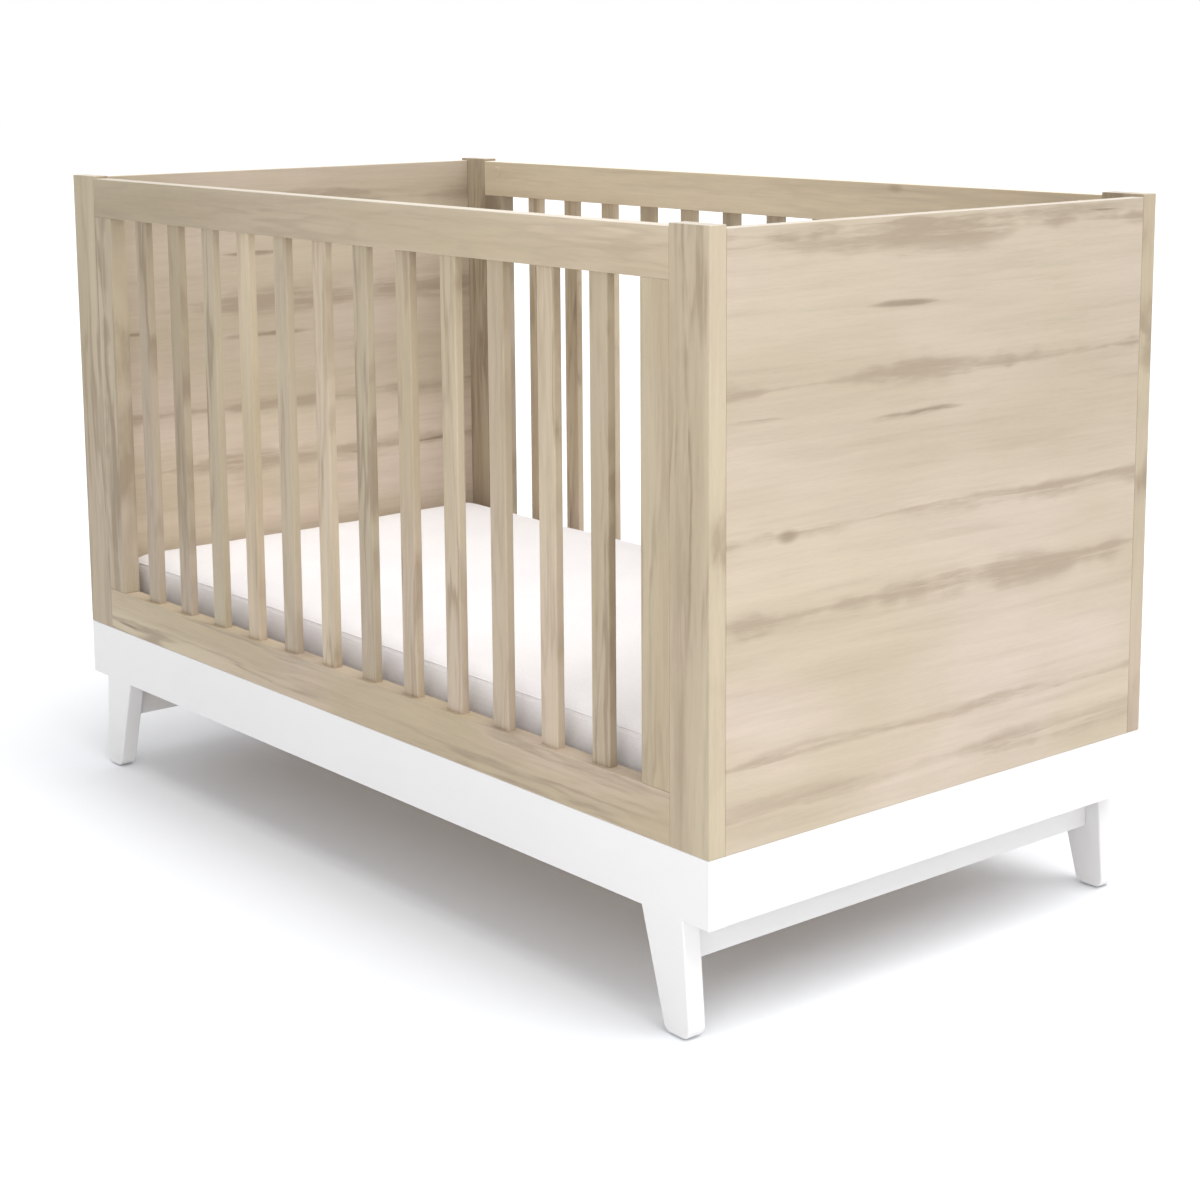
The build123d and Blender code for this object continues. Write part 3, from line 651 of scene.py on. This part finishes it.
def screwTree():
    t = Tree("screwGrid", {"Head": ("NodeSocketObject", None), "Slats": ("NodeSocketInt", 12),
                           "Reach": ("NodeSocketFloat", 1.2), "Rails": ("NodeSocketFloat", 0.6),
                           "Spread": ("NodeSocketFloat", 0.03), "Level": ("NodeSocketFloat", 0.2)})
    grid = t.add("GeometryNodeMeshGrid", None, {"Size X": t.given("Reach"), "Size Y": t.given("Rails"),
                                                "Vertices X": t.given("Slats"), "Vertices Y": 2})
    pair = t.add("GeometryNodeMeshLine", None, {"Count": 2, "Offset": t.point(t.given("Spread"), 0.0, 0.0)})
    centred = t.add("GeometryNodeTransform", None,
                    {"Geometry": pair, "Translation": t.point(t.given("Spread") * -0.5, 0.0, 0.0)})
    both = t.add("GeometryNodeInstanceOnPoints", None, {"Points": grid, "Instance": centred})
    spots = t.add("GeometryNodeRealizeInstances", None, {0: both})
    raised = t.add("GeometryNodeTransform", None,
                   {"Geometry": spots, "Translation": t.point(0.0, 0.0, t.given("Level"))})
    head = t.tree.nodes.new("GeometryNodeObjectInfo")
    t.tree.links.new(t.given("Head").socket, head.inputs["Object"])
    turn = t.add("FunctionNodeRandomValue", {"data_type": "FLOAT_VECTOR"},
                 {0: (0.0, 0.0, 0.0), 1: (0.0, 0.0, 3.14), "Seed": 4})
    screws = t.add("GeometryNodeInstanceOnPoints", None,
                   {"Points": raised, "Instance": Wire(t, head.outputs["Geometry"]), "Rotation": turn})
    t.close(screws, finishes["zinc"])
    return t


slatLow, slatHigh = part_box("base_slats")
railFront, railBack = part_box("base_rail_front"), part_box("base_rail_back")
railSpacing = (railBack[0].y + railBack[1].y - railFront[0].y - railFront[1].y) / 2
head = screwHead()
screws = newObject("baseSlatScrews", bpy.data.meshes.new("baseSlatScrews"))
reach = slatHigh.x - slatLow.x - screwLook["slatWidth"]
screwTree().run(screws, Head=head, Slats=screwLook["slats"], Reach=reach, Rails=railSpacing,
                Spread=screwLook["spread"], Level=slatHigh.z)
bpy.data.objects.remove(head)
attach(screws, "mattress_base")
print("base screws made")


# caps that hide the cams, flush against the inside of the rails
capLook = {"camRadius": 0.0075, "radius": 0.0090, "height": 0.0012, "rim": 28, "inset": 0.0001}


def capShape():
    # a shallow dish with a rounded edge, facing +Z
    bm = bmesh.new()
    dish = ((1.0, -0.1), (1.0, 0.45), (0.95, 0.85), (0.87, 1.0), (0.45, 0.97), (0.12, 0.95))
    rings = turnedRings(bm, capLook["rim"], capLook["radius"], capLook["height"], dish)
    return closedShell("camCapShape", bm, rings)


def capTree():
    # two rows of caps, the back one turned to face the front one
    t = Tree("capRows", {"Cap": ("NodeSocketObject", None), "Length": ("NodeSocketFloat", 1.2),
                         "Rise": ("NodeSocketFloat", 0.7), "Middle": ("NodeSocketVector", None),
                         "Face": ("NodeSocketFloat", 0.357)})
    cap = t.tree.nodes.new("GeometryNodeObjectInfo")
    t.tree.links.new(t.given("Cap").socket, cap.inputs["Object"])
    grid = t.add("GeometryNodeMeshGrid", None, {"Size X": t.given("Length"), "Size Y": t.given("Rise"),
                                                "Vertices X": 2, "Vertices Y": 2})
    row = t.add("GeometryNodeInstanceOnPoints", None,
                {"Points": grid, "Instance": Wire(t, cap.outputs["Geometry"])})
    faces = t.tree.nodes.new("GeometryNodeJoinGeometry")
    for side in (-1, 1):
        # the row stands up in the XZ plane, its caps towards the middle of the crib
        stood = t.add("GeometryNodeTransform", None,
                      {"Geometry": row, "Rotation": (side * math.pi / 2, 0.0, 0.0)})
        out = t.add("ShaderNodeVectorMath", {"operation": "ADD"},
                    {0: t.given("Middle"), 1: t.point(0.0, t.given("Face") * side, 0.0)})
        placed = t.add("GeometryNodeTransform", None, {"Geometry": stood, "Translation": out})
        t.tree.links.new(placed.socket, faces.inputs[0])
    t.close(Wire(t, faces.outputs[0]), finishes["rail"])
    return t


camLow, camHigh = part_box("cam_locks")
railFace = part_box("top_rail_back")[0].y
cap = capShape()
caps = newObject("camCaps", bpy.data.meshes.new("camCaps"))
camInset = 2 * capLook["camRadius"]
capTree().run(caps, Cap=cap, Length=camHigh.x - camLow.x - camInset, Rise=camHigh.z - camLow.z - camInset,
              Middle=(0.0, 0.0, (camLow.z + camHigh.z) / 2), Face=railFace - capLook["inset"])
bpy.data.objects.remove(cap)
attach(caps, "crib_frame")
print("cam caps made")


# floor, light and camera
roomLook = {"floorSize": 60.0, "worldStrength": 1.0, "sunStrength": 1.75, "sunAngle": 55.0,
            "sunFrom": (1.60, 0.80, 4.0), "fillPower": 11.5, "fillSize": 1.2, "fillFrom": (1.75, -1.9, 1.1),
            "fillTo": (0.5, -0.3, 0.4), "dimSide": (-0.45, -0.87, 0.20), "dimSpan": (-0.1, 0.95),
            "dimBy": 0.38}

floorMesh = bpy.data.meshes.new("studioFloor")
half = roomLook["floorSize"] / 2
floorCorners = [(-half, -half, 0), (half, -half, 0), (half, half, 0), (-half, half, 0)]
floorMesh.from_pydata(floorCorners, [], [(0, 1, 2, 3)])
floor = newObject("studioFloor", floorMesh)
paper, g = newFinish("paperFloor")
x, y, z = g.place()
cloud = g.noise(g.point(x, y, z), 0.8, 2.0)
tint = g.mix(cloud.ramp(0.3, 0.7), (0.885, 0.902, 0.926), (0.875, 0.892, 0.916))
g.skin({"Specular IOR Level": 0.1}, Base_Color=tint, Roughness=0.9 + cloud * 0.05)
dress(floor, paper)

world = bpy.data.worlds.new("studio")
world.use_nodes = True
sky = Graph(world.node_tree)
heading = sky.add("ShaderNodeTexCoord")
toDim = sky.add("ShaderNodeVectorMath", {"operation": "DOT_PRODUCT"}, {0: heading, 1: roomLook["dimSide"]}, 1)
# white to look at, but less light comes from the front left
seen = sky.add("ShaderNodeLightPath")
dimming = toDim.ramp(*roomLook["dimSpan"], 0.0, roomLook["dimBy"]) * (1.0 - seen)
glow = sky.mix(dimming, (1.0, 1.0, 1.0), (0.0, 0.0, 0.0))
backdrop = world.node_tree.nodes["Background"]
world.node_tree.links.new(glow.socket, backdrop.inputs[0])
backdrop.inputs[1].default_value = roomLook["worldStrength"]
bpy.context.scene.world = world


def aim(obj, place, target):
    # put at place, looking at target
    obj.rotation_mode = "QUATERNION"
    obj.location = place
    obj.rotation_quaternion = (Vector(target) - Vector(place)).to_track_quat("-Z", "Y")
    bpy.context.scene.collection.objects.link(obj)


sun = bpy.data.lights.new("softSun", "SUN")
sun.energy = roomLook["sunStrength"]
sun.angle = math.radians(roomLook["sunAngle"])
aim(bpy.data.objects.new("softSun", sun), roomLook["sunFrom"], (0.0, 0.0, 0.0))

fill = bpy.data.lights.new("fillPanel", "AREA")
fill.energy = roomLook["fillPower"]
fill.size = roomLook["fillSize"]
aim(bpy.data.objects.new("fillPanel", fill), roomLook["fillFrom"], roomLook["fillTo"])

cameraLook = {"place": (2.5184, -2.0171, 1.1128), "yaw": 50.41, "pitch": 9.42, "roll": -0.40,
              "lens": 68.82, "sensor": 36.0, "shiftY": -0.14}
camera = bpy.data.cameras.new("studioCamera")
camera.sensor_width = cameraLook["sensor"]
camera.lens = cameraLook["lens"]
camera.shift_y = cameraLook["shiftY"]
cameraObject = bpy.data.objects.new("studioCamera", camera)
turn = (Matrix.Rotation(math.radians(cameraLook["yaw"]), 4, "Z")
        @ Matrix.Rotation(math.radians(90 - cameraLook["pitch"]), 4, "X")
        @ Matrix.Rotation(math.radians(cameraLook["roll"]), 4, "Z"))
cameraObject.matrix_world = Matrix.Translation(cameraLook["place"]) @ turn
bpy.context.scene.collection.objects.link(cameraObject)
bpy.context.scene.camera = cameraObject
bpy.context.scene.view_settings.view_transform = "Standard"
print("room and camera set")
